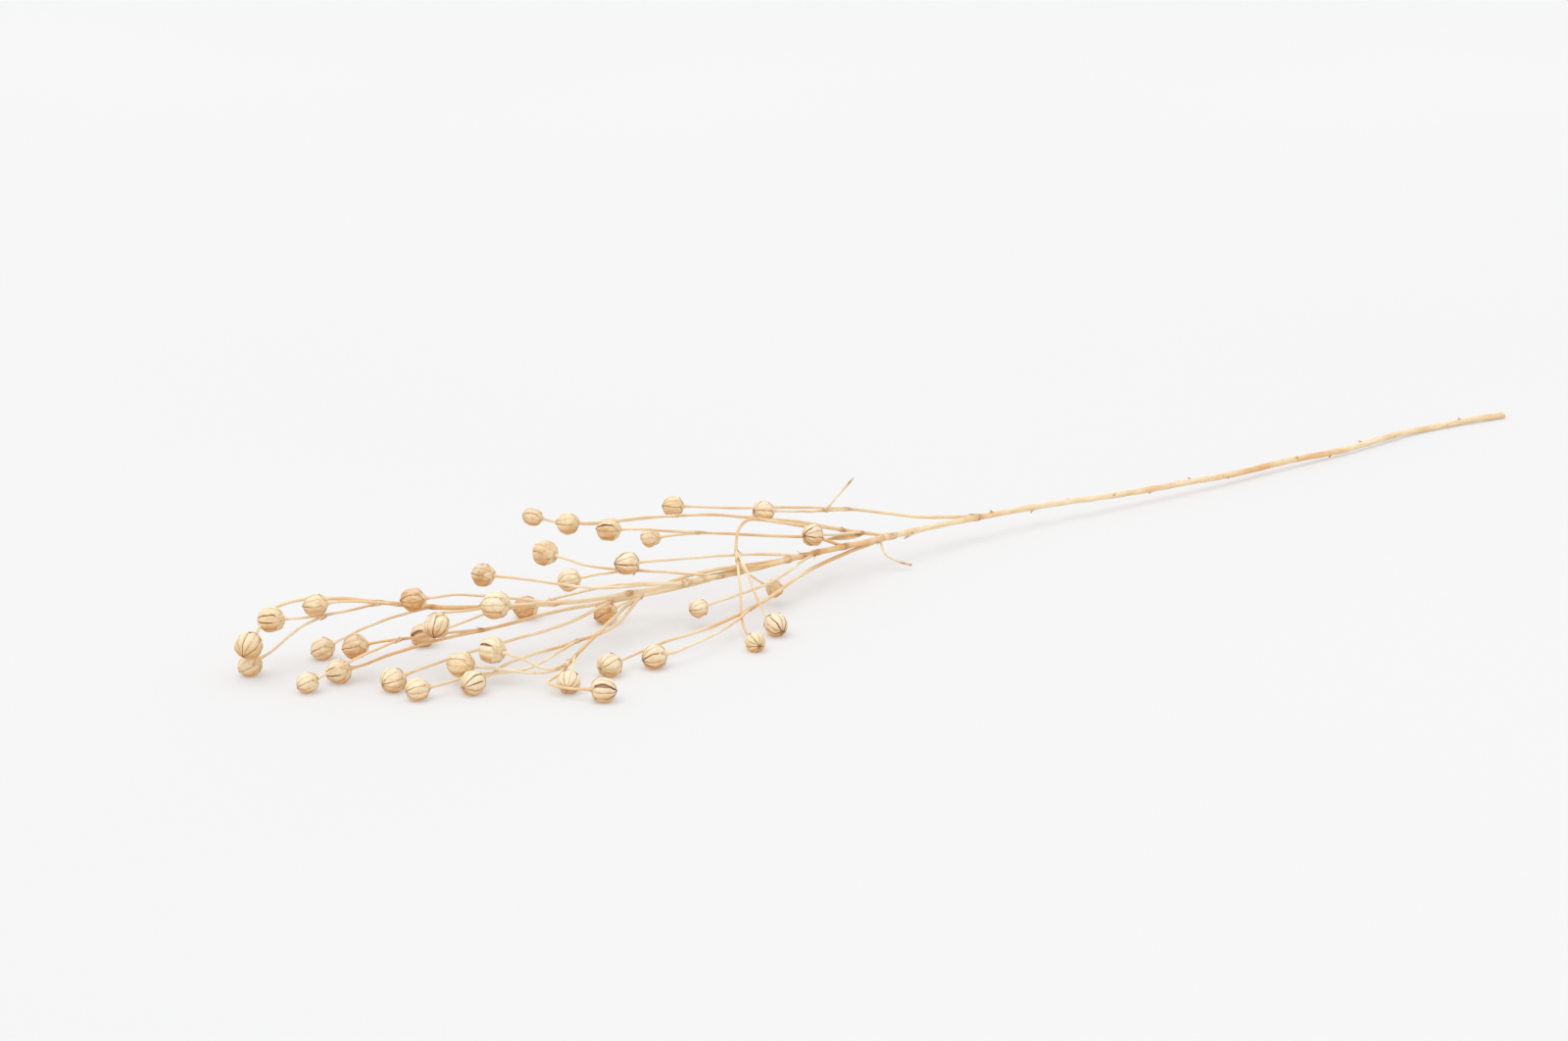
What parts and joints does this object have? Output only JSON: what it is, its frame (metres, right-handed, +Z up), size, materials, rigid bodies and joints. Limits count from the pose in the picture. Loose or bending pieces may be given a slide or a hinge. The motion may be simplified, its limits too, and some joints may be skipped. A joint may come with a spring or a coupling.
{
  "type": "dried flax stem",
  "caption": "Dried flax stem lying down: a thin straw stalk with a loose branched head of round ribbed seed bolls, each with a small beak and calyx.",
  "frame": {"origin": "middle of the space the stem takes up, on the surface that it lies on", "axes": "+X along the stem towards its cut end, the branched head at -X, +Z up from the surface"},
  "size_m": [0.5601, 0.1081, 0.0327],
  "materials": {
    "straw": "matt dry straw, pale cream to tan, with darker tan ribs on the bolls"
  },
  "bodies": {
    "root": {"flax_stem": "straw"}
  },
  "joints": []
}
